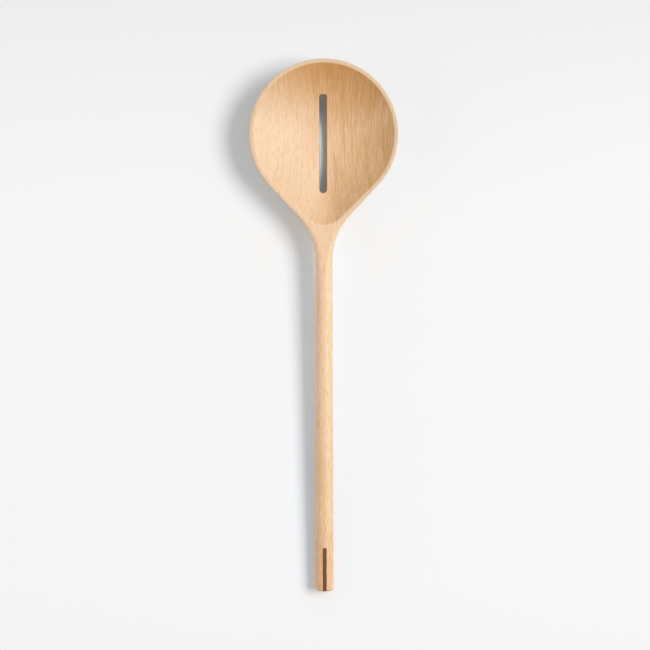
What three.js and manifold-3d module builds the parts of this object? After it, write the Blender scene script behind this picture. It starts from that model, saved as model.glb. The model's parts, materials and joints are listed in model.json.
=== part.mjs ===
// Wooden slotted spoon: one carved beech body with a dark wood strip let into the butt end.
// Millimetres, +Z up. The spoon lies on its bowl and its butt end, with the bowl towards +Y.
import * as THREE from 'three';
import { mergeVertices } from 'three/addons/utils/BufferGeometryUtils.js';
import Module from 'manifold-3d';

// Overall
const overallLength = 320;

// Bowl, measured from the centre of its round end, in the plane of the rim
const bowlWidth = 89.2;
const bowlTipReach = 45.1;
const bowlDepth = 19.5;
const flankAngle = THREE.MathUtils.degToRad(43);
const rimEdgeHeight = 1.2;
const deepestY = -5.3;
const undersidePower = 2.2;

// Hollow of the bowl
const rimLand = 2.05;
const floorThickness = 3.6;
const cavityFlankTurn = THREE.MathUtils.degToRad(1.9);
const cavityEndRadius = 14;
const cavityPower = 2.3;

// Drain slot through the floor of the bowl
const slotWidth = 4.35;
const slotLength = 59.2;
const slotOffsetX = -0.45;
const slotTopCorner = 1.2;

// Neck and handle
const neckRadius = 39;
const neckBlendLength = 46;
const undersideHeelToNeck = 5.5;
const undersideBlend = 7;
const handleNeckWidth = 10.4;
const handleEndWidth = 10.7;
const buttRound = 1.5;

// Dark wood strip in the butt end
const inlayThickness = 2.3;
const inlayLength = 26.2;
const glueGap = 0.3;

// Powers of an ellipse, for the handle's section
const ellipsePower = 2;
const ellipseFullness = 0.5;

// Fineness of the facets
const tipStations = 14;
const flankStations = 22;
const neckStations = 16;
const buttStations = 4;
const edgeSteps = 5;
const undersideSteps = 18;
const cavityRings = 9;
const cavityArcSteps = 8;
const slotArcSteps = 6;
const cutMargin = 2;

// Places that follow from the sizes above
const bowlHalfWidth = bowlWidth / 2;
const buttY = bowlTipReach - overallLength;
const handleHalfAtNeck = handleNeckWidth / 2;
const handleHalfAtButt = handleEndWidth / 2;
const flankTop = new THREE.Vector2(Math.cos(flankAngle), -Math.sin(flankAngle)).multiplyScalar(bowlHalfWidth);
const filletTopX = handleHalfAtNeck + neckRadius * (1 - Math.cos(flankAngle));
const filletTopY = flankTop.y - (flankTop.x - filletTopX) / Math.tan(flankAngle);
const neckEndY = filletTopY - neckRadius * Math.sin(flankAngle);
const neckBlendTopY = neckEndY + neckBlendLength / 2;
const neckBlendEndY = neckEndY - neckBlendLength / 2;
const undersideHeelY = neckEndY + undersideHeelToNeck;
const cavityDepth = bowlDepth - floorThickness;
const cavityFlankAngle = flankAngle + cavityFlankTurn;

const wasm = await Module();
wasm.setup();

function toSolid(geometry) {
  const bare = geometry.clone();
  bare.deleteAttribute('normal');
  bare.deleteAttribute('uv');
  const merged = mergeVertices(bare);
  const corners = merged.index.array;
  const kept = [];
  for (let i = 0; i < corners.length; i += 3) {
    const [a, b, c] = corners.slice(i, i + 3);
    if (a !== b && b !== c && c !== a) kept.push(a, b, c);
  }
  const mesh = new wasm.Mesh({
    numProp: 3,
    vertProperties: new Float32Array(merged.attributes.position.array),
    triVerts: new Uint32Array(kept),
  });
  return new wasm.Manifold(mesh);
}

function toGeometry(solid) {
  const mesh = solid.getMesh();
  const geometry = new THREE.BufferGeometry();
  geometry.setAttribute('position', new THREE.BufferAttribute(mesh.vertProperties, 3));
  geometry.setIndex(new THREE.BufferAttribute(mesh.triVerts, 1));
  geometry.computeVertexNormals();
  return geometry;
}

// A closed skin over rings of points that all have the same count, with a flat cap at each end.
function skin(rings) {
  const count = rings[0].length;
  const positions = rings.flat().flatMap((point) => point.toArray());
  const index = [];
  for (let ring = 0; ring + 1 < rings.length; ring += 1) {
    for (let i = 0; i < count; i += 1) {
      const next = (i + 1) % count;
      const here = ring * count;
      const there = here + count;
      index.push(here + i, here + next, there + next);
      index.push(here + i, there + next, there + i);
    }
  }
  const last = (rings.length - 1) * count;
  for (let i = 1; i + 1 < count; i += 1) {
    index.push(0, i + 1, i);
    index.push(last, last + i, last + i + 1);
  }
  const geometry = new THREE.BufferGeometry();
  geometry.setAttribute('position', new THREE.Float32BufferAttribute(positions, 3));
  geometry.setIndex(index);
  return geometry;
}

// Half of the spoon's width, seen from above: round bowl, straight flank, hollow neck, handle.
function halfWidth(y) {
  if (y >= 0) return bowlHalfWidth * Math.sqrt(Math.max(0, 1 - (y / bowlTipReach) ** 2));
  if (y >= flankTop.y) return Math.sqrt(bowlHalfWidth ** 2 - y ** 2);
  if (y >= filletTopY) return flankTop.x + (y - flankTop.y) * Math.tan(flankAngle);
  if (y >= neckEndY) return handleHalfAtNeck + neckRadius - Math.sqrt(neckRadius ** 2 - (y - neckEndY) ** 2);
  return THREE.MathUtils.mapLinear(y, neckEndY, buttY, handleHalfAtNeck, handleHalfAtButt);
}

// How far the spoon has turned from bowl (0) into handle (1).
function handleShare(y) {
  return 1 - THREE.MathUtils.smoothstep(y, neckBlendEndY, neckBlendTopY);
}

function handleHalfHeight(y) {
  return Math.min(halfWidth(y), handleHalfAtButt);
}

// Depth of the underside below the rim, along the middle: a dish that runs softly into the handle.
function undersideDepth(y) {
  const reach = y > deepestY ? bowlTipReach - deepestY : undersideHeelY - deepestY;
  const along = (y - deepestY) / reach;
  const dish = rimEdgeHeight + (bowlDepth - rimEdgeHeight) * (1 - along ** undersidePower);
  if (y > deepestY) return dish;
  const handle = 2 * handleHalfHeight(y);
  const overlap = Math.max(undersideBlend - Math.abs(dish - handle), 0);
  return Math.max(dish, handle) + overlap ** 2 / (4 * undersideBlend);
}

// Cross-section at y: flat top with rounded edges, a straight edge band, and a rounded underside.
function section(y, inset = 0) {
  const share = handleShare(y);
  const half = halfWidth(y) - inset;
  const rise = (handleHalfHeight(y) - inset) * share;
  const round = half * share;
  const band = rimEdgeHeight * (1 - share);
  const top = -inset * share;
  const belly = undersideDepth(y) - inset + top - rise - band;
  const power = THREE.MathUtils.lerp(undersidePower, ellipsePower, share);
  const fullness = THREE.MathUtils.lerp(1, ellipseFullness, share);
  const points = [];
  for (let i = 0; i <= edgeSteps; i += 1) {
    const angle = (i / edgeSteps) * (Math.PI / 2);
    points.push([half - round * (1 - Math.cos(angle)), top - rise * (1 - Math.sin(angle))]);
  }
  for (let i = edgeSteps; i >= 0; i -= 1) {
    const [x, z] = points[i];
    points.push([-x, z]);
  }
  for (let i = 0; i <= undersideSteps; i += 1) {
    const across = -Math.cos((i / undersideSteps) * Math.PI);
    const drop = belly * Math.max(0, 1 - Math.abs(across) ** power) ** fullness;
    points.push([half * across, top - rise - band - drop]);
  }
  return points.map(([x, z]) => new THREE.Vector3(x, y, z));
}

function evenly(from, to, steps) {
  return Array.from({ length: steps }, (_, i) => THREE.MathUtils.lerp(from, to, (i + 1) / steps));
}

// The whole outside of the spoon, before anything is cut from it.
function outsideForm() {
  const tipAngles = evenly(Math.PI / 2, 0, tipStations);
  const tip = tipAngles.map((angle) => section(bowlTipReach * Math.sin(angle)));
  const flank = evenly(0, neckBlendTopY, flankStations).map((y) => section(y));
  const neck = evenly(neckBlendTopY, neckBlendEndY, neckStations).map((y) => section(y));
  const butt = [0, ...evenly(0, Math.PI / 2, buttStations)].map((angle) => {
    const inset = buttRound * (1 - Math.cos(angle));
    return section(buttY + buttRound * (1 - Math.sin(angle)), inset);
  });
  return skin([section(bowlTipReach), ...tip, ...flank, ...neck, ...butt]);
}

// The hollow: a dish under a round-ended outline that keeps an even land inside the rim.
function cavityForm() {
  const radius = bowlHalfWidth - rimLand;
  const endDrop = (radius - cavityEndRadius) / Math.sin(cavityFlankAngle);
  const leftFlank = Math.PI + cavityFlankAngle;
  const rightFlank = 2 * Math.PI - cavityFlankAngle;
  const outline = new THREE.Path();
  outline.absellipse(0, 0, radius, bowlTipReach - rimLand, 0, Math.PI, false);
  outline.absarc(0, 0, radius, Math.PI, leftFlank, false);
  outline.absarc(0, -endDrop, cavityEndRadius, leftFlank, rightFlank, false);
  outline.absarc(0, 0, radius, rightFlank, 2 * Math.PI, false);
  const points = outline.getPoints(cavityArcSteps).slice(0, -1);
  const ringAt = (share, z) => points.map((point) => new THREE.Vector3(
    point.x * share,
    deepestY + (point.y - deepestY) * share,
    z,
  ));
  const rings = [];
  for (let i = 0; i <= cavityRings; i += 1) {
    const share = i / cavityRings;
    rings.push(ringAt(share, -cavityDepth * (1 - share ** cavityPower)));
  }
  return skin([...rings, ringAt(1, cutMargin)]);
}

// A slot along the bowl, through its floor at the deepest place: round below, squarer towards the tip.
function slotForm() {
  const radius = slotWidth / 2;
  const corner = Math.min(slotTopCorner, radius);
  const cornerX = radius - corner;
  const cornerY = slotLength / 2 - corner;
  const outline = new THREE.Shape();
  outline.absarc(cornerX, cornerY, corner, 0, Math.PI / 2, false);
  outline.absarc(-cornerX, cornerY, corner, Math.PI / 2, Math.PI, false);
  outline.absarc(0, radius - slotLength / 2, radius, Math.PI, 2 * Math.PI, false);
  const depth = bowlDepth + 2 * cutMargin;
  const settings = { depth, bevelEnabled: false, curveSegments: slotArcSteps };
  const geometry = new THREE.ExtrudeGeometry(outline, settings);
  return geometry.translate(slotOffsetX, deepestY, -bowlDepth - cutMargin);
}

// A block across the full height of the handle, from beyond the butt end up to its inner end.
function buttBlock(thickness, length) {
  const height = handleEndWidth + 2 * cutMargin;
  const geometry = new THREE.BoxGeometry(thickness, length + cutMargin, height);
  return geometry.translate(0, buttY + (length - cutMargin) / 2, -handleHalfAtButt);
}

// The turn that brings the underside of the bowl and the heel of the butt end onto one level.
function restTilt(geometry) {
  const heel = new THREE.Vector2(buttY + buttRound, -undersideDepth(buttY));
  const position = geometry.attributes.position;
  let tilt = 0;
  for (let i = 0; i < position.count; i += 1) {
    const run = position.getY(i) - heel.x;
    const fall = heel.y - position.getZ(i);
    if (position.getY(i) > neckEndY) tilt = Math.max(tilt, Math.atan2(fall, run));
  }
  return tilt;
}

function piece(name, solid, material) {
  const mesh = new THREE.Mesh(toGeometry(solid), material);
  mesh.name = name;
  return mesh;
}

const beech = new THREE.MeshStandardMaterial({ color: 0xe6c49c, roughness: 0.55, metalness: 0 });
const walnut = new THREE.MeshStandardMaterial({ color: 0x7d5738, roughness: 0.5, metalness: 0 });

const outside = toSolid(outsideForm());
const kerf = toSolid(buttBlock(inlayThickness + 2 * glueGap, inlayLength + glueGap));
const strip = toSolid(buttBlock(inlayThickness, inlayLength));
const hollowed = outside.subtract(toSolid(cavityForm())).subtract(toSolid(slotForm()));

const spoonBody = piece('spoon_body', hollowed.subtract(kerf), beech);
const walnutInlay = piece('walnut_inlay', outside.intersect(strip), walnut);

// Lay the spoon down, with the middle of its footprint over the origin.
const lying = new THREE.Group();
lying.add(spoonBody, walnutInlay);
lying.rotation.x = restTilt(spoonBody.geometry);
const bounds = new THREE.Box3().setFromObject(lying, true);
const middle = bounds.getCenter(new THREE.Vector3());
lying.position.set(-middle.x, -middle.y, -bounds.min.z);

const spoon = new THREE.Group();
spoon.add(lying);

export default spoon;
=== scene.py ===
"""Wooden slotted spoon, seen from straight above on a pale floor in soft studio light.

The spoon is modelled in its own flat frame, in millimetres: the rim lies in the plane z = 0, the
centre of the bowl's round end is the origin, the tip points to +y and the handle to -y. It is then
laid down where the frame's butt end says.
"""

import json
import math

import bmesh
import bpy
from mathutils import Matrix, Vector


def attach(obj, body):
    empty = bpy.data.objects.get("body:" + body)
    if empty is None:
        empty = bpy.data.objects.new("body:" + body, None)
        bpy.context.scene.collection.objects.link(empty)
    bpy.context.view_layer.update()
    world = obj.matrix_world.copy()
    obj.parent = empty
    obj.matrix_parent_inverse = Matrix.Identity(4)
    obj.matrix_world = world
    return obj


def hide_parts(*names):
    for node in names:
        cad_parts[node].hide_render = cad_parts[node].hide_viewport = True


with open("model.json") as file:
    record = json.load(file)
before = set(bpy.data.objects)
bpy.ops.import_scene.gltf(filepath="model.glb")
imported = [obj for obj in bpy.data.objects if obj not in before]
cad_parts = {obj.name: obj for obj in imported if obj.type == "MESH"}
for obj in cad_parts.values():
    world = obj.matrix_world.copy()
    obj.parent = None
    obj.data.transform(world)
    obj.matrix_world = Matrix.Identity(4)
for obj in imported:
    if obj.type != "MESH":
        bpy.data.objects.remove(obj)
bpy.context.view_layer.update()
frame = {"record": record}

MM = 0.001

# Overall size and bowl
OVERALL_LENGTH = 320.0
BOWL_WIDTH = 89.2
BOWL_TIP_REACH = 45.1
BOWL_DEPTH = 19.5
FLANK_ANGLE = math.radians(43.0)
RIM_EDGE_HEIGHT = 1.2
DEEPEST_Y = -5.3
UNDERSIDE_POWER = 2.2

# Hollow of the bowl
RIM_LAND = 2.05
FLOOR_THICKNESS = 3.6
CAVITY_FLANK_TURN = math.radians(1.9)
CAVITY_END_RADIUS = 14.0
CAVITY_POWER = 2.3

# Drain slot
SLOT_WIDTH = 4.35
SLOT_LENGTH = 59.2
SLOT_OFFSET_X = -0.45
SLOT_TOP_CORNER = 1.2

# Neck and handle
NECK_RADIUS = 39.0
NECK_BLEND_LENGTH = 46.0
NECK_EASING_ABOVE = 39.0
NECK_EASING_BELOW = 19.0
UNDERSIDE_HEEL_TO_NECK = 5.5
UNDERSIDE_BLEND = 7.0
HANDLE_NECK_WIDTH = 10.4
HANDLE_END_WIDTH = 10.7
BUTT_ROUND = 1.5
ELLIPSE_POWER = 2.0
ELLIPSE_FULLNESS = 0.5

# Walnut strip
INLAY_THICKNESS = 2.3
INLAY_LENGTH = 26.2
GLUE_LINE = 0.04

# Fineness of the meshes
TIP_STATIONS = 90
FLANK_STATIONS = 120
NECK_STATIONS = 120
BUTT_STATIONS = 12
EDGE_STEPS = 14
UNDERSIDE_STEPS = 96
CAVITY_RINGS = 60
CAVITY_ARC_STEPS = 48
SLOT_ARC_STEPS = 24
CUT_MARGIN = 2.0
MERGE_DISTANCE = 0.001
VOXEL = 0.32
SANDING_PASSES = 3
SANDING_STRENGTH = 0.5

# Places that follow from the sizes
BOWL_HALF_WIDTH = BOWL_WIDTH / 2
BUTT_Y = BOWL_TIP_REACH - OVERALL_LENGTH
HANDLE_HALF_AT_NECK = HANDLE_NECK_WIDTH / 2
HANDLE_HALF_AT_BUTT = HANDLE_END_WIDTH / 2
FLANK_TOP_X = BOWL_HALF_WIDTH * math.cos(FLANK_ANGLE)
FLANK_TOP_Y = -BOWL_HALF_WIDTH * math.sin(FLANK_ANGLE)
FILLET_TOP_X = HANDLE_HALF_AT_NECK + NECK_RADIUS * (1 - math.cos(FLANK_ANGLE))
FILLET_TOP_Y = FLANK_TOP_Y - (FLANK_TOP_X - FILLET_TOP_X) / math.tan(FLANK_ANGLE)
NECK_END_Y = FILLET_TOP_Y - NECK_RADIUS * math.sin(FLANK_ANGLE)
NECK_BLEND_TOP_Y = NECK_END_Y + NECK_BLEND_LENGTH / 2
NECK_BLEND_END_Y = NECK_END_Y - NECK_BLEND_LENGTH / 2
UNDERSIDE_HEEL_Y = NECK_END_Y + UNDERSIDE_HEEL_TO_NECK
CAVITY_DEPTH = BOWL_DEPTH - FLOOR_THICKNESS
CAVITY_FLANK_ANGLE = FLANK_ANGLE + CAVITY_FLANK_TURN

# The butt end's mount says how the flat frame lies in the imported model, which is in metres
BUTT_MOUNT = next(mount for mount in frame["record"]["mounts"] if mount["name"] == "butt_end")
REST_TILT = math.asin(-BUTT_MOUNT["axis"][2])
REST_TURN = Matrix.Rotation(REST_TILT, 4, "X")
BUTT_POINT = Vector((BUTT_MOUNT["pos_m"][0], BUTT_Y * MM, -HANDLE_HALF_AT_BUTT * MM))
REST_SHIFT = Vector(BUTT_MOUNT["pos_m"]) - REST_TURN @ BUTT_POINT
LAY_DOWN = Matrix.Translation(REST_SHIFT) @ REST_TURN @ Matrix.Scale(MM, 4)
BOWL_CENTRE_Y = (LAY_DOWN @ Vector((0.0, 0.0, 0.0))).y
SLOT_CENTRE_Y = (LAY_DOWN @ Vector((SLOT_OFFSET_X, DEEPEST_Y, 0.0))).y


# Form of the spoon

def lerp(start, end, share):
    return start + (end - start) * share


def smoothstep(value, low, high):
    share = min(max((value - low) / (high - low), 0.0), 1.0)
    return share * share * (3 - 2 * share)


def half_width(y):
    """Half of the spoon's width from above: round bowl, straight flank, hollow neck, handle."""
    if y >= 0:
        return BOWL_HALF_WIDTH * math.sqrt(max(0.0, 1 - (y / BOWL_TIP_REACH) ** 2))
    if y >= FLANK_TOP_Y:
        return math.sqrt(BOWL_HALF_WIDTH ** 2 - y ** 2)
    if y >= FILLET_TOP_Y:
        return FLANK_TOP_X + (y - FLANK_TOP_Y) * math.tan(FLANK_ANGLE)
    if y >= NECK_END_Y:
        return HANDLE_HALF_AT_NECK + NECK_RADIUS - math.sqrt(NECK_RADIUS ** 2 - (y - NECK_END_Y) ** 2)
    along = (y - NECK_END_Y) / (BUTT_Y - NECK_END_Y)
    return lerp(HANDLE_HALF_AT_NECK, HANDLE_HALF_AT_BUTT, along)


def handle_share(y):
    """How far the spoon has turned from bowl (0) into handle (1)."""
    return 1 - smoothstep(y, NECK_BLEND_END_Y, NECK_BLEND_TOP_Y)


def easing_share(y):
    """How far the top edges are eased, from crisp at the bowl (0) to a full round (1)."""
    return 1 - smoothstep(y, NECK_END_Y - NECK_EASING_BELOW, NECK_END_Y + NECK_EASING_ABOVE)


def handle_half_height(y):
    return min(half_width(y), HANDLE_HALF_AT_BUTT)


def underside_depth(y):
    """Depth below the rim along the middle: a dish that runs softly into the handle."""
    reach = BOWL_TIP_REACH - DEEPEST_Y if y > DEEPEST_Y else UNDERSIDE_HEEL_Y - DEEPEST_Y
    along = (y - DEEPEST_Y) / reach
    dish = RIM_EDGE_HEIGHT + (BOWL_DEPTH - RIM_EDGE_HEIGHT) * (1 - along ** UNDERSIDE_POWER)
    if y > DEEPEST_Y:
        return dish
    handle = 2 * handle_half_height(y)
    overlap = max(UNDERSIDE_BLEND - abs(dish - handle), 0.0)
    return max(dish, handle) + overlap ** 2 / (4 * UNDERSIDE_BLEND)


def section(y, inset=0.0):
    """Cross-section at y: flat top with rounded edges, a straight edge band, a rounded underside."""
    share = handle_share(y)
    half = half_width(y) - inset
    rise = (handle_half_height(y) - inset) * easing_share(y)
    rounding = half * easing_share(y)
    band = RIM_EDGE_HEIGHT * (1 - share)
    top = -inset * share
    belly = underside_depth(y) - inset + top - rise - band
    power = lerp(UNDERSIDE_POWER, ELLIPSE_POWER, share)
    fullness = lerp(1.0, ELLIPSE_FULLNESS, share)
    edge = []
    for step in range(EDGE_STEPS + 1):
        angle = step / EDGE_STEPS * math.pi / 2
        edge.append((half - rounding * (1 - math.cos(angle)), top - rise * (1 - math.sin(angle))))
    points = edge + [(-x, z) for x, z in reversed(edge)]
    for step in range(UNDERSIDE_STEPS + 1):
        across = -math.cos(step / UNDERSIDE_STEPS * math.pi)
        drop = belly * max(0.0, 1 - abs(across) ** power) ** fullness
        points.append((half * across, top - rise - band - drop))
    return [Vector((x, y, z)) for x, z in points]


def evenly(start, end, steps):
    return [lerp(start, end, (step + 1) / steps) for step in range(steps)]


def outside_rings():
    """Sections of the whole outside, from the tip to the butt end."""
    ys = [BOWL_TIP_REACH * math.sin(angle) for angle in evenly(math.pi / 2, 0, TIP_STATIONS)]
    ys += evenly(0, NECK_BLEND_TOP_Y, FLANK_STATIONS)
    ys += evenly(NECK_BLEND_TOP_Y, NECK_BLEND_END_Y, NECK_STATIONS)
    rings = [section(BOWL_TIP_REACH)] + [section(y) for y in ys]
    for angle in [0.0] + evenly(0, math.pi / 2, BUTT_STATIONS):
        inset = BUTT_ROUND * (1 - math.cos(angle))
        rings.append(section(BUTT_Y + BUTT_ROUND * (1 - math.sin(angle)), inset))
    return rings


def arc(centre_x, centre_y, radius_x, radius_y, start, end, steps):
    points = []
    for step in range(steps):
        angle = lerp(start, end, step / steps)
        points.append((centre_x + radius_x * math.cos(angle), centre_y + radius_y * math.sin(angle)))
    return points


def cavity_rings():
    """Rings of the hollow, from its deepest point up to beyond the rim."""
    radius = BOWL_HALF_WIDTH - RIM_LAND
    end = CAVITY_END_RADIUS
    end_drop = (radius - end) / math.sin(CAVITY_FLANK_ANGLE)
    left_flank = math.pi + CAVITY_FLANK_ANGLE
    right_flank = 2 * math.pi - CAVITY_FLANK_ANGLE
    outline = arc(0, 0, radius, BOWL_TIP_REACH - RIM_LAND, 0, math.pi, 2 * CAVITY_ARC_STEPS)
    outline += arc(0, 0, radius, radius, math.pi, left_flank, CAVITY_ARC_STEPS)
    outline += arc(0, -end_drop, end, end, left_flank, right_flank, CAVITY_ARC_STEPS)
    outline += arc(0, 0, radius, radius, right_flank, 2 * math.pi, CAVITY_ARC_STEPS)
    levels = []
    for ring in range(CAVITY_RINGS + 1):
        share = ring / CAVITY_RINGS
        levels.append((share, -CAVITY_DEPTH * (1 - share ** CAVITY_POWER)))
    levels.append((1.0, CUT_MARGIN))
    return [
        [Vector((x * share, DEEPEST_Y + (y - DEEPEST_Y) * share, z)) for x, y in outline]
        for share, z in levels
    ]


def slot_rings():
    """Two like outlines, below and above the floor of the bowl: round at the heel, squarer at the tip."""
    radius = SLOT_WIDTH / 2
    corner = SLOT_TOP_CORNER
    corner_x = radius - corner
    corner_y = DEEPEST_Y + SLOT_LENGTH / 2 - corner
    round_y = DEEPEST_Y - SLOT_LENGTH / 2 + radius
    outline = arc(corner_x, corner_y, corner, corner, 0, math.pi / 2, SLOT_ARC_STEPS)
    outline += arc(-corner_x, corner_y, corner, corner, math.pi / 2, math.pi, SLOT_ARC_STEPS)
    outline += [(-radius, corner_y)]
    outline += arc(0, round_y, radius, radius, math.pi, 2 * math.pi, SLOT_ARC_STEPS)
    outline += [(radius, round_y)]
    heights = (-BOWL_DEPTH - CUT_MARGIN, CUT_MARGIN)
    return [[Vector((x + SLOT_OFFSET_X, y, z)) for x, y in outline] for z in heights]


def butt_block_rings(thickness, length):
    """A block across the full height of the handle, from its inner end to beyond the butt end."""
    half = thickness / 2
    low = -HANDLE_END_WIDTH - CUT_MARGIN
    corners = ((half, low), (half, CUT_MARGIN), (-half, CUT_MARGIN), (-half, low))
    ends = (BUTT_Y + length, BUTT_Y - CUT_MARGIN)
    return [[Vector((x, y, z)) for x, z in corners] for y in ends]


# Meshes

def add_object(name, data):
    """A new object in the scene that holds this mesh, lamp or camera."""
    holder = bpy.data.objects.new(name, data)
    bpy.context.scene.collection.objects.link(holder)
    return holder


def skin(name, rings):
    """A closed mesh over rings of points with the same count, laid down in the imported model."""
    count = len(rings[0])
    points = [LAY_DOWN @ point for ring in rings for point in ring]
    faces = []
    for ring in range(len(rings) - 1):
        here = ring * count
        there = here + count
        for index in range(count):
            after = (index + 1) % count
            faces.append((here + index, here + after, there + after, there + index))
    last = (len(rings) - 1) * count
    faces.append(tuple(reversed(range(count))))
    faces.append(tuple(range(last, last + count)))
    mesh = bpy.data.meshes.new(name)
    mesh.from_pydata(points, [], faces)
    tidy = bmesh.new()
    tidy.from_mesh(mesh)
    bmesh.ops.remove_doubles(tidy, verts=tidy.verts, dist=MERGE_DISTANCE * MM)
    bmesh.ops.dissolve_degenerate(tidy, edges=tidy.edges, dist=MERGE_DISTANCE * MM)
    many_sided = [face for face in tidy.faces if len(face.verts) > 4]
    bmesh.ops.triangulate(tidy, faces=many_sided)
    tidy.to_mesh(mesh)
    tidy.free()
    return add_object(name, mesh)


def apply_modifiers(piece):
    graph = bpy.context.evaluated_depsgraph_get()
    mesh = bpy.data.meshes.new_from_object(piece.evaluated_get(graph))
    piece.modifiers.clear()
    piece.data = mesh


def combine(piece, tool, operation):
    """Cuts piece with tool, or keeps what they share, and removes the tool."""
    change = piece.modifiers.new("combine", "BOOLEAN")
    change.object = tool
    change.operation = operation
    change.solver = "MANIFOLD"
    apply_modifiers(piece)
    bpy.data.objects.remove(tool)


def sand(piece):
    """Rebuilds the surface in small even faces and eases every edge, as sandpaper does."""
    remesh = piece.modifiers.new("remesh", "REMESH")
    remesh.mode = "VOXEL"
    remesh.voxel_size = VOXEL * MM
    ease = piece.modifiers.new("ease", "SMOOTH")
    ease.factor = SANDING_STRENGTH
    ease.iterations = SANDING_PASSES
    apply_modifiers(piece)


def make_spoon():
    spoon = skin("spoon", outside_rings())
    combine(spoon, skin("cavity_tool", cavity_rings()), "DIFFERENCE")
    combine(spoon, skin("slot_tool", slot_rings()), "DIFFERENCE")
    sand(spoon)
    kerf = butt_block_rings(INLAY_THICKNESS + 2 * GLUE_LINE, INLAY_LENGTH + GLUE_LINE)
    combine(spoon, skin("kerf_tool", kerf), "DIFFERENCE")
    spoon.data.shade_smooth()
    return spoon


def make_inlay():
    inlay = skin("inlay", butt_block_rings(INLAY_THICKNESS, INLAY_LENGTH))
    combine(inlay, skin("outside_tool", outside_rings()), "INTERSECT")
    return inlay


# Materials

class Graph:
    """The nodes of a new material, added one call at a time."""

    def __init__(self, name):
        self.material = bpy.data.materials.new(name)
        self.material.use_nodes = True
        self.nodes = self.material.node_tree.nodes
        self.links = self.material.node_tree.links
        self.shader = self.nodes["Principled BSDF"]

    def put(self, socket, value):
        """Sets an input to a plain value, or links another node's output to it."""
        if isinstance(value, bpy.types.NodeSocket):
            self.links.new(value, socket)
        else:
            socket.default_value = value

    def math(self, operation, first, second=0.0, third=0.0):
        node = self.nodes.new("ShaderNodeMath")
        node.operation = operation
        for socket, value in zip(node.inputs, (first, second, third)):
            self.put(socket, value)
        return node.outputs[0]

    def ramp(self, value, low, high, start=0.0, end=1.0):
        """Runs softly from start to end while value runs from low to high."""
        node = self.nodes.new("ShaderNodeMapRange")
        node.interpolation_type = "SMOOTHSTEP"
        names = ("Value", "From Min", "From Max", "To Min", "To Max")
        for name, entry in zip(names, (value, low, high, start, end)):
            self.put(node.inputs[name], entry)
        return node.outputs["Result"]

    def fade(self, value, low, high):
        """Runs softly from 1 to 0 while value runs from low to high."""
        return self.ramp(value, low, high, 1.0, 0.0)

    def away(self, value, middle):
        """How far value lies from the middle, to either side."""
        return self.math("ABSOLUTE", self.math("SUBTRACT", value, middle))

    def distance(self, x, y, point_x, point_y):
        """How far the place x, y lies from a point."""
        across = self.math("POWER", self.away(x, point_x), 2.0)
        along = self.math("POWER", self.away(y, point_y), 2.0)
        return self.math("SQRT", self.math("ADD", across, along))

    def times(self, *values):
        """Product of all values."""
        product = values[0]
        for value in values[1:]:
            product = self.math("MULTIPLY", product, value)
        return product

    def mix(self, share, first, second, blend="MIX"):
        """Blends two colours; inputs 6 and 7 and output 2 are the node's colour sockets."""
        node = self.nodes.new("ShaderNodeMix")
        node.data_type = "RGBA"
        node.blend_type = blend
        node.clamp_factor = True
        self.put(node.inputs["Factor"], share)
        self.put(node.inputs[6], first)
        self.put(node.inputs[7], second)
        return node.outputs[2]

    def combine(self, x, y, z):
        node = self.nodes.new("ShaderNodeCombineXYZ")
        for socket, value in zip(node.inputs, (x, y, z)):
            self.put(socket, value)
        return node.outputs[0]

    def separate(self, vector):
        node = self.nodes.new("ShaderNodeSeparateXYZ")
        self.put(node.inputs[0], vector)
        return node.outputs

    def stretched(self, position, widths):
        """Position in units of a grain that is so many millimetres wide along x, y and z."""
        node = self.nodes.new("ShaderNodeMapping")
        self.put(node.inputs["Vector"], position)
        self.put(node.inputs["Scale"], [1 / width for width in widths])
        return node.outputs[0]

    def noise(self, position, widths, detail=2.0):
        """Even noise around 0, about one bump per grain."""
        node = self.nodes.new("ShaderNodeTexNoise")
        self.put(node.inputs["Vector"], self.stretched(position, widths))
        self.put(node.inputs["Scale"], 1.0)
        self.put(node.inputs["Detail"], detail)
        return self.math("SUBTRACT", node.outputs["Fac"], 0.5)

    def dashes(self, position, widths, size, share):
        """Scattered short dashes, 1 inside and 0 outside; only a share of the cells holds one."""
        node = self.nodes.new("ShaderNodeTexVoronoi")
        self.put(node.inputs["Vector"], self.stretched(position, widths))
        self.put(node.inputs["Scale"], 1.0)
        inside = self.fade(node.outputs["Distance"], size / 2, size)
        lot = self.separate(node.outputs["Color"])[0]
        drawn = self.math("LESS_THAN", lot, share)
        return self.math("MULTIPLY", inside, drawn)

    def coordinates(self, kind):
        """Place ("Object") or direction ("Normal") of the surface."""
        return self.nodes.new("ShaderNodeTexCoord").outputs[kind]

    def spoon_place(self):
        """Place on the spoon in its flat frame, in millimetres."""
        node = self.nodes.new("ShaderNodeMapping")
        into_flat = LAY_DOWN.inverted()
        self.put(node.inputs["Vector"], self.coordinates("Object"))
        self.put(node.inputs["Location"], into_flat.to_translation())
        self.put(node.inputs["Rotation"], into_flat.to_euler())
        self.put(node.inputs["Scale"], into_flat.to_scale())
        return node.outputs[0]

    def finished(self, colour, roughness, specular, height, relief):
        """The material with this finish; relief is its depth in millimetres as height runs from 0 to 1."""
        bump = self.nodes.new("ShaderNodeBump")
        self.put(bump.inputs["Height"], height)
        self.put(bump.inputs["Distance"], relief * MM)
        self.put(self.shader.inputs["Normal"], bump.outputs[0])
        self.put(self.shader.inputs["Base Color"], colour)
        self.put(self.shader.inputs["Roughness"], roughness)
        self.put(self.shader.inputs["Specular IOR Level"], specular)
        return self.material


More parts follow.
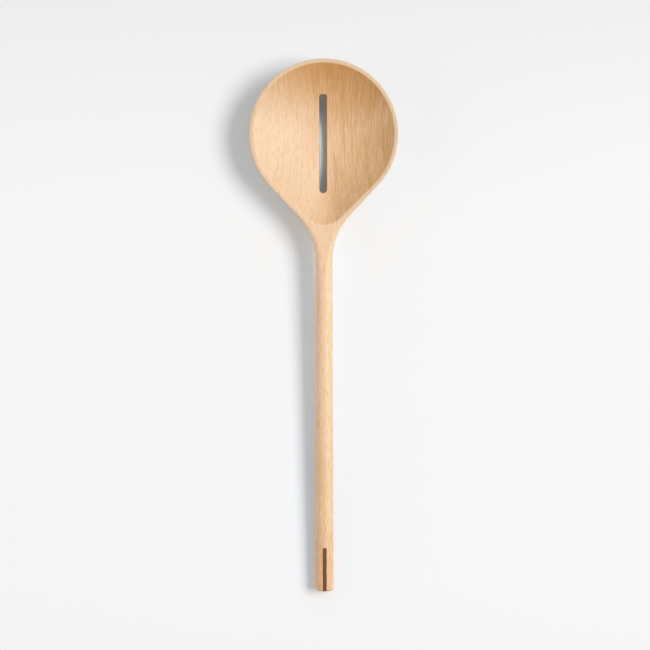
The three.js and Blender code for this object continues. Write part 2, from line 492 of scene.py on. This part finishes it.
# Beech: colours
BEECH_PALE = (0.900, 0.620, 0.398, 1.0)
# Painted light: the paler, less red colour of faces that turn to the key light
BEECH_LIT_SIDE = (0.838, 0.618, 0.412, 1.0)
BEECH_RIM = (0.775, 0.558, 0.365, 1.0)
BEECH_DEEP = (0.605, 0.305, 0.060, 1.0)
# End grain brown, also laid as painted shade on the hollow's right wall
BEECH_END_AND_SHADE = (0.560, 0.250, 0.046, 1.0)
# Painted shade: the dark brown of the slot's steep walls
BEECH_SLOT_SHADE = (0.17, 0.085, 0.025, 1.0)
STRIP_TINT = (0.98, 0.89, 0.89, 1.0)

# Beech: how far each layer of the grain turns the pale colour into the deep one
BASE_TONE = 0.02
CLOUD_TONE = 0.15
RING_TONE = 0.30
LINE_TONE = 0.15
FIBRE_TONE = 1.2
FLECK_TONE = 0.5
STREAK_TONE = 0.55
HEART_TONE = 0.25
HANDLE_TONE = 0.07
BUTT_TONE = 0.17

# Beech: size of one grain across x, y and z, in millimetres
CLOUD_GRAIN = (22.0, 60.0, 22.0)
RING_GRAIN = (2.6, 60.0, 30.0)
LINE_GRAIN = (0.9, 40.0, 16.0)
FIBRE_GRAIN = (0.55, 5.0, 5.0)
LONG_FIBRE_GRAIN = (0.7, 18.0, 11.0)
FLECK_GRAIN = (1.5, 12.0, 1.5)

# Beech: form and strength of the grain; the bow's width is in millimetres
LINE_DETAIL = 1.0
LINE_LEVEL = (0.02, 0.17)
SHORT_FIBRE_SHARE = 0.65
LONG_FIBRE_SHARE = 1.15
FLECK_SIZE = 0.2
FLECK_SHARE = 0.5
GRAIN_BOW = 0.24
GRAIN_BOW_WIDTH = 8.0

# Beech: places where the wood changes, and where the slot's painted shade lies, in millimetres, and how
# they lean
BOWL_START = (-75.0, -58.0)
HOLLOW_EDGE = (-0.40, -0.12)
HOLLOW_OUTWARD = (0.3, 1.5)
HEART_SIDE = (-7.0, 5.0)
HEART_WANDER = 12.0
HEART_LEAN = 0.12
RIM_START = (-55.0, -25.0)
RIM_LEAN = 0.5
BUTT_START = (-130.0, -215.0)
STRIP_FROM_BUTT = (50.0, 14.0)
STREAK_PLACES = ((1.6, -56.8, 2.2), (-0.1, -81.5, 4.8))
STREAK_HALF_WIDTH = 0.45
SLOT_WALL_BESIDE = (0.7, 0.3)
SLOT_WALL_BEYOND = (1.0, 0.4)

# Beech: slopes where the wood and its painted light and shade change, as parts of the surface's normal;
# the lean is per millimetre
HOLLOW_UPWARD = (0.0, 0.4)
HEEL_SLOPE = (0.15, 0.40)
LIT_SIDE_SLOPE = (0.0, 0.4)
LIT_SIDE_HEEL_SLOPE = (0.3, 0.7)
SLOT_WALL_STEEP = (0.75, 0.35)
END_GRAIN_TIP = 0.95
END_GRAIN_HEEL = 0.40
# Painted shade on the hollow's right wall, which faces away from the key light
RIGHT_WALL_SHADE = 0.30
END_GRAIN_AND_SHADE_LEAN = 0.0030
END_GRAIN_SLOPE = (0.0, 0.72)
BUTT_FACE = (-0.35, -0.85)

# Beech: strength of the end grain and of the painted shade laid with it, and the finish; relief is in
# millimetres
END_GRAIN_SHARE = 0.85
END_GRAIN_LINES = 0.15
END_GRAIN_FIBRES = 0.6
HANDLE_ROUGHNESS = 0.47
BOWL_ROUGHNESS = 0.60
FIBRE_ROUGHNESS = 0.3
BEECH_SPECULAR = 0.5
GRAIN_RELIEF = 0.03
FLECK_RELIEF = -0.5


def dark_streaks(graph, x, y):
    """Two single streaks on the neck, each given by its place and half of its length."""
    streaks = 0.0
    for streak_x, streak_y, half_length in STREAK_PLACES:
        off_x = graph.math("DIVIDE", graph.math("SUBTRACT", x, streak_x), STREAK_HALF_WIDTH)
        off_y = graph.math("DIVIDE", graph.math("SUBTRACT", y, streak_y), half_length)
        off = graph.math("ADD", graph.math("POWER", off_x, 2.0), graph.math("POWER", off_y, 2.0))
        streaks = graph.math("ADD", streaks, graph.fade(off, 0.0, 1.0))
    return streaks


def end_grain_and_shade(graph, x, normal_x, normal_y, hollow, on_handle):
    """Where the hollow turns up to the tip, the heel and the right, and on the butt end: end grain at the
    tip, heel and butt end, painted shade on the right wall, which faces away from the key light.
    """
    to_tip = graph.math("MULTIPLY", normal_y, -END_GRAIN_TIP)
    to_heel = graph.math("MULTIPLY", normal_y, END_GRAIN_HEEL)
    right_wall_shade = graph.math("MULTIPLY", normal_x, -RIGHT_WALL_SHADE)
    facing = graph.math("MAXIMUM", graph.math("MAXIMUM", to_tip, to_heel), right_wall_shade)
    # The lean lays more of the brown on the right, shaded side and less on the lit left
    facing = graph.math("MULTIPLY_ADD", x, END_GRAIN_AND_SHADE_LEAN, facing)
    wall = graph.times(hollow, graph.ramp(facing, *END_GRAIN_SLOPE))
    butt_face = graph.times(on_handle, graph.ramp(normal_y, *BUTT_FACE))
    return graph.times(END_GRAIN_SHARE, graph.math("MAXIMUM", wall, butt_face))


def shaded_slot_walls(graph, x, y, normal_z):
    """The steep faces in the slot, which get dark brown as painted shade."""
    beside_slot = graph.math("SUBTRACT", graph.away(x, SLOT_OFFSET_X), SLOT_WIDTH / 2)
    beyond_slot = graph.math("SUBTRACT", graph.away(y, DEEPEST_Y), SLOT_LENGTH / 2)
    return graph.times(
        graph.ramp(beside_slot, *SLOT_WALL_BESIDE),
        graph.ramp(beyond_slot, *SLOT_WALL_BEYOND),
        graph.ramp(graph.math("ABSOLUTE", normal_z), *SLOT_WALL_STEEP),
    )


def beech():
    graph = Graph("beech")
    x, y, z = graph.separate(graph.spoon_place())
    normal_x, normal_y, normal_z = graph.separate(graph.coordinates("Normal"))

    # Lines of the grain bow outwards where the hollow cuts deeper into the layers
    side = graph.math("TANH", graph.math("DIVIDE", x, GRAIN_BOW_WIDTH))
    grain_x = graph.math("SUBTRACT", x, graph.times(z, side, GRAIN_BOW))
    grain = graph.combine(grain_x, y, z)
    clouds = graph.noise(grain, CLOUD_GRAIN)
    rings = graph.noise(grain, RING_GRAIN)
    lines = graph.ramp(graph.noise(grain, LINE_GRAIN, LINE_DETAIL), *LINE_LEVEL)
    flecks = graph.dashes(grain, FLECK_GRAIN, FLECK_SIZE, FLECK_SHARE)

    # Regions of the spoon: handle, butt, rim, hollow, and the darker heartwood on the right of the hollow
    in_bowl = graph.ramp(y, *BOWL_START)
    on_handle = graph.math("SUBTRACT", 1.0, in_bowl)
    butt = graph.ramp(y, *BUTT_START)
    along_rim = graph.math("MULTIPLY_ADD", x, RIM_LEAN, y)
    rim = graph.times(graph.ramp(z, *HOLLOW_EDGE), graph.ramp(along_rim, *RIM_START))
    outward = graph.times(x, normal_x)
    hollow = graph.times(
        in_bowl,
        graph.fade(z, *HOLLOW_EDGE),
        graph.fade(outward, *HOLLOW_OUTWARD),
        graph.ramp(normal_z, *HOLLOW_UPWARD),
    )
    heart_side = graph.math("MULTIPLY_ADD", clouds, HEART_WANDER, x)
    heart_side = graph.math("MULTIPLY_ADD", y, HEART_LEAN, heart_side)
    heart = graph.times(hollow, graph.ramp(heart_side, *HEART_SIDE))

    # Short fibres everywhere; in the heartwood off its heel they are weaker, with long ones and no flecks
    long_cut = graph.times(heart, graph.fade(normal_y, *HEEL_SLOPE))
    long_fibres = graph.times(graph.noise(grain, LONG_FIBRE_GRAIN), long_cut, LONG_FIBRE_SHARE)
    short_share = graph.ramp(long_cut, 0.0, 1.0, 1.0, SHORT_FIBRE_SHARE)
    fibres = graph.math("MULTIPLY_ADD", graph.noise(grain, FIBRE_GRAIN), short_share, long_fibres)
    flecks = graph.times(flecks, graph.math("SUBTRACT", 1.0, long_cut))

    tone = BASE_TONE
    layers = (
        (clouds, CLOUD_TONE),
        (rings, RING_TONE),
        (lines, LINE_TONE),
        (fibres, FIBRE_TONE),
        (flecks, FLECK_TONE),
        (dark_streaks(graph, x, y), STREAK_TONE),
        (heart, HEART_TONE),
        (on_handle, HANDLE_TONE),
        (butt, BUTT_TONE),
    )
    for layer, amount in layers:
        tone = graph.math("MULTIPLY_ADD", layer, amount, tone)

    # Painted light: a paler, less red colour on what faces right, towards the key light, off the heel; a
    # greyer rim, redder wood round the strip
    off_heel = graph.fade(normal_y, *LIT_SIDE_HEEL_SLOPE)
    lit_side = graph.times(off_heel, graph.ramp(normal_x, *LIT_SIDE_SLOPE))
    pale = graph.mix(lit_side, BEECH_PALE, BEECH_LIT_SIDE)
    pale = graph.mix(rim, pale, BEECH_RIM)
    colour = graph.mix(tone, pale, BEECH_DEEP)
    from_butt = graph.math("SUBTRACT", y, BUTT_Y)
    colour = graph.mix(graph.ramp(from_butt, *STRIP_FROM_BUTT), colour, STRIP_TINT, "MULTIPLY")

    # End grain with lines and fibres in it, painted shade where it lies on the hollow's right wall; and
    # painted shade, a dark brown, on the walls of the slot
    pattern = graph.math("MULTIPLY_ADD", fibres, END_GRAIN_FIBRES, 1.0)
    pattern = graph.math("MULTIPLY_ADD", lines, END_GRAIN_LINES, pattern)
    grain_and_shade_share = graph.times(end_grain_and_shade(graph, x, normal_x, normal_y, hollow, on_handle), pattern)
    colour = graph.mix(grain_and_shade_share, colour, BEECH_END_AND_SHADE)
    colour = graph.mix(shaded_slot_walls(graph, x, y, normal_z), colour, BEECH_SLOT_SHADE)

    polish = graph.ramp(y, *BOWL_START, HANDLE_ROUGHNESS, BOWL_ROUGHNESS)
    roughness = graph.math("MULTIPLY_ADD", fibres, FIBRE_ROUGHNESS, polish)
    relief = graph.math("MULTIPLY_ADD", flecks, FLECK_RELIEF, fibres)
    return graph.finished(colour, roughness, BEECH_SPECULAR, relief, GRAIN_RELIEF)


# Walnut: colours, grain in millimetres, how far its layers turn the pale colour deep, and the finish
WALNUT_PALE = (0.215, 0.086, 0.022, 1.0)
WALNUT_DEEP = (0.120, 0.046, 0.012, 1.0)
WALNUT_STREAK_GRAIN = (0.5, 16.0, 2.0)
WALNUT_STREAK_DETAIL = 3.0
WALNUT_PORE_GRAIN = (0.5, 3.0, 0.5)
WALNUT_PORE_SIZE = 0.3
WALNUT_PORE_SHARE = 0.5
WALNUT_BASE_TONE = 0.4
WALNUT_STREAK_TONE = 1.6
WALNUT_PORE_TONE = 0.4
WALNUT_ROUGHNESS = 0.6
WALNUT_STREAK_ROUGHNESS = 0.3
WALNUT_SPECULAR = 0.25
WALNUT_RELIEF = 0.03
WALNUT_PORE_RELIEF = -0.6


def walnut():
    graph = Graph("walnut")
    place = graph.spoon_place()
    streaks = graph.noise(place, WALNUT_STREAK_GRAIN, WALNUT_STREAK_DETAIL)
    pores = graph.dashes(place, WALNUT_PORE_GRAIN, WALNUT_PORE_SIZE, WALNUT_PORE_SHARE)
    tone = graph.math("MULTIPLY_ADD", streaks, WALNUT_STREAK_TONE, WALNUT_BASE_TONE)
    tone = graph.math("MULTIPLY_ADD", pores, WALNUT_PORE_TONE, tone)
    colour = graph.mix(tone, WALNUT_PALE, WALNUT_DEEP)
    roughness = graph.math("MULTIPLY_ADD", streaks, WALNUT_STREAK_ROUGHNESS, WALNUT_ROUGHNESS)
    relief = graph.math("MULTIPLY_ADD", pores, WALNUT_PORE_RELIEF, streaks)
    return graph.finished(colour, roughness, WALNUT_SPECULAR, relief, WALNUT_RELIEF)


# Floor: size, and pale paint with painted light, brightest in a band across the middle; lengths in metres
FLOOR_HALF = 3.0
FLOOR_END = (0.6, 2.8)
FLOOR_MIDDLE = (0.925, 0.925, 0.925, 1.0)
FLOOR_FAR = (0.770, 0.770, 0.770, 1.0)
FLOOR_BRIGHT_Y = -0.045
FLOOR_FADE = (0.10, 0.40)
FLOOR_ROUGHNESS = 0.9
FLOOR_SPECULAR = 0.0

# Floor: tints beside the wood and in its shadow; lengths in metres
BESIDE_WOOD = (0.972, 1.028, 1.080, 1.0)
BESIDE_BOWL = (0.046, 0.076)
BESIDE_HANDLE = (0.007, 0.035)
BESIDE_BUTT = (-0.060, -0.170)
BESIDE_BUTT_SHARE = 0.7
HANDLE_ENDS = (0.150, 0.166)
HANDLE_SHADOW = (0.990, 1.022, 1.055, 1.0)
HANDLE_SHADOW_X = -0.008
HANDLE_SHADOW_HALF = (0.002, 0.007)
BOWL_SHADOW = (0.975, 1.0, 1.02, 1.0)
BOWL_SHADOW_X = -0.010
BOWL_SHADOW_REACH = (0.042, 0.050)

# Floor: painted shade under the slot, lighter and warmer in its middle, where the key light comes through;
# lengths in metres
SLOT_SHADE_PAINT = (0.43, 0.45, 0.45, 1.0)
UNDER_SLOT_LEFT = (-0.012, -0.0034)
UNDER_SLOT_RIGHT = (0.002, 0.012)
UNDER_SLOT_HEEL = (-0.055, 0.005)
UNDER_SLOT_TIP = (0.030, 0.045)
SLOT_LIT_MIDDLE = (1.03, 1.0, 0.925, 1.0)
SLOT_MIDDLE_HALF = (0.008, 0.030)
SLOT_MIDDLE_SHARE = 0.35
LIGHT_SPOT_Y = 0.005
LIGHT_SPOT_LEFT = (-0.0024, -0.0008)
LIGHT_SPOT_HALF = (0.005, 0.018)


def tinted_beside_wood(graph, paint, x, y, from_bowl):
    """Cooler beside the wood and in its shadow, where warm light off the wood falls on the paint."""
    beside_handle = graph.times(
        graph.fade(graph.away(x, 0.0), *BESIDE_HANDLE),
        graph.fade(graph.away(y, 0.0), *HANDLE_ENDS),
        graph.ramp(y, *BESIDE_BUTT, 1.0, BESIDE_BUTT_SHARE),
    )
    beside = graph.math("MAXIMUM", graph.fade(from_bowl, *BESIDE_BOWL), beside_handle)
    near_shadow = graph.fade(graph.away(x, HANDLE_SHADOW_X), *HANDLE_SHADOW_HALF)
    handle_shadow = graph.times(beside_handle, near_shadow)
    from_bowl_shadow = graph.distance(x, y, BOWL_SHADOW_X, BOWL_CENTRE_Y)
    bowl_shadow = graph.fade(from_bowl_shadow, *BOWL_SHADOW_REACH)
    paint = graph.mix(beside, paint, BESIDE_WOOD, "MULTIPLY")
    paint = graph.mix(handle_shadow, paint, HANDLE_SHADOW, "MULTIPLY")
    return graph.mix(bowl_shadow, paint, BOWL_SHADOW, "MULTIPLY")


def painted_shade_under_slot(graph, paint, x, y):
    """Painted shade under the slot, less of it in its middle and none in a spot on the left that light
    reaches; its middle is painted warmer.
    """
    along_slot = graph.math("SUBTRACT", y, SLOT_CENTRE_Y)
    from_middle = graph.away(y, SLOT_CENTRE_Y)
    from_spot = graph.away(along_slot, LIGHT_SPOT_Y)
    right_side = graph.fade(x, *UNDER_SLOT_RIGHT)
    middle = graph.times(
        graph.ramp(x, *UNDER_SLOT_LEFT),
        right_side,
        graph.fade(from_middle, *SLOT_MIDDLE_HALF),
    )
    left_edges = []
    for at_spot, elsewhere in zip(LIGHT_SPOT_LEFT, UNDER_SLOT_LEFT):
        left_edges.append(graph.ramp(from_spot, *LIGHT_SPOT_HALF, at_spot, elsewhere))
    slot_shade = graph.times(
        graph.ramp(x, *left_edges),
        right_side,
        graph.ramp(along_slot, *UNDER_SLOT_HEEL),
        graph.fade(along_slot, *UNDER_SLOT_TIP),
        graph.ramp(from_middle, *SLOT_MIDDLE_HALF, SLOT_MIDDLE_SHARE, 1.0),
    )
    # Painted light and shade: warmer where the key light comes through, grey shade under the rest of the
    # slot
    paint = graph.mix(middle, paint, SLOT_LIT_MIDDLE, "MULTIPLY")
    return graph.mix(slot_shade, paint, SLOT_SHADE_PAINT)


def floor_paint():
    """Pale paint with painted light, brightest in a band across the middle and duller away from it, that
    fades out far from the spoon.
    """
    graph = Graph("floor")
    x, y = graph.separate(graph.coordinates("Object"))[:2]
    from_bowl = graph.distance(x, y, 0.0, BOWL_CENTRE_Y)
    # Painted light: brighter in a band across the middle of the floor, duller away from it
    painted_falloff = graph.ramp(graph.away(y, FLOOR_BRIGHT_Y), *FLOOR_FADE)
    paint = graph.mix(painted_falloff, FLOOR_MIDDLE, FLOOR_FAR)
    paint = tinted_beside_wood(graph, paint, x, y, from_bowl)
    # Painted shade under the slot
    paint = painted_shade_under_slot(graph, paint, x, y)
    graph.put(graph.shader.inputs["Base Color"], paint)
    graph.put(graph.shader.inputs["Alpha"], graph.fade(from_bowl, *FLOOR_END))
    graph.put(graph.shader.inputs["Roughness"], FLOOR_ROUGHNESS)
    graph.put(graph.shader.inputs["Specular IOR Level"], FLOOR_SPECULAR)
    return graph.material


def make_floor():
    """A wide square at the height that the spoon lies on."""
    signs = ((-1, -1), (1, -1), (1, 1), (-1, 1))
    mesh = bpy.data.meshes.new("floor")
    mesh.from_pydata([(FLOOR_HALF * x, FLOOR_HALF * y, 0.0) for x, y in signs], [], [(0, 1, 2, 3)])
    mesh.materials.append(floor_paint())
    return add_object("floor", mesh)


# The two pieces, and the floor
spoon = make_spoon()
inlay = make_inlay()
dressing = (
    (spoon, beech(), "spoon_body", "beech"),
    (inlay, walnut(), "walnut_inlay", "walnut"),
)
for piece, material, node, slot in dressing:
    piece.data.materials.clear()
    piece.data.materials.append(material)
    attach(piece, "root")
    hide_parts(node)

floor = make_floor()

# Light: lengths in metres, power in watts
KEY_DISTANCE = 8.0
KEY_AZIMUTH = math.radians(8.4)
KEY_ELEVATION = math.radians(47.7)
KEY_SIZE = (5.2, 3.5)
KEY_POWER = 421.0
FILL_DISTANCE = 3.0
FILL_AZIMUTH = math.radians(185)
FILL_ELEVATION = math.radians(25)
FILL_SIZE = (2.4, 2.4)
FILL_POWER = 11.0
AMBIENT = 0.502
BACKDROP = 0.75


def area_light(name, azimuth, elevation, distance, size, power):
    """A soft lamp, so wide and so high, that looks at the middle of the spoon."""
    lamp = bpy.data.lights.new(name, "AREA")
    lamp.shape = "ELLIPSE"
    lamp.size, lamp.size_y = size
    lamp.energy = power
    turn = Matrix.Rotation(azimuth, 3, "Z") @ Matrix.Rotation(-elevation, 3, "Y")
    place = turn @ Vector((distance, 0.0, 0.0))
    holder = add_object(name, lamp)
    holder.location = place
    holder.rotation_euler = (-place).to_track_quat("-Z", "Y").to_euler()


def surroundings():
    """Even soft light from all round, and a pale backdrop where the camera looks past the floor."""
    world = bpy.data.worlds.new("surroundings")
    world.use_nodes = True
    nodes = world.node_tree.nodes
    links = world.node_tree.links
    ray = nodes.new("ShaderNodeLightPath")
    seen = ray.outputs["Is Camera Ray"]
    for kind in ("Is Glossy Ray", "Is Transmission Ray"):
        either = nodes.new("ShaderNodeMath")
        either.operation = "MAXIMUM"
        links.new(seen, either.inputs[0])
        links.new(ray.outputs[kind], either.inputs[1])
        seen = either.outputs[0]
    strength = nodes.new("ShaderNodeMapRange")
    strength.inputs["To Min"].default_value = AMBIENT
    strength.inputs["To Max"].default_value = BACKDROP
    links.new(seen, strength.inputs["Value"])
    links.new(strength.outputs["Result"], nodes["Background"].inputs["Strength"])
    nodes["Background"].inputs["Color"].default_value = (1.0, 1.0, 1.0, 1.0)
    bpy.context.scene.world = world


area_light("key", KEY_AZIMUTH, KEY_ELEVATION, KEY_DISTANCE, KEY_SIZE, KEY_POWER)
area_light("fill", FILL_AZIMUTH, FILL_ELEVATION, FILL_DISTANCE, FILL_SIZE, FILL_POWER)
surroundings()

# Camera: lengths in metres, the sensor in millimetres
CAMERA_HEIGHT = 1.4
CAMERA_X = 0.0005
CAMERA_Y = 0.0006
CAMERA_ROLL = math.radians(-0.12)
FRAME_WIDTH_ON_FLOOR = 0.3942
SENSOR_WIDTH = 36.0
lens = bpy.data.cameras.new("camera")
lens.sensor_width = SENSOR_WIDTH
lens.lens = SENSOR_WIDTH * CAMERA_HEIGHT / FRAME_WIDTH_ON_FLOOR
camera = add_object("camera", lens)
camera.location = (CAMERA_X, CAMERA_Y, CAMERA_HEIGHT)
camera.rotation_euler = (0.0, 0.0, CAMERA_ROLL)
bpy.context.scene.camera = camera
bpy.context.scene.view_settings.view_transform = "Standard"

bpy.context.view_layer.update()
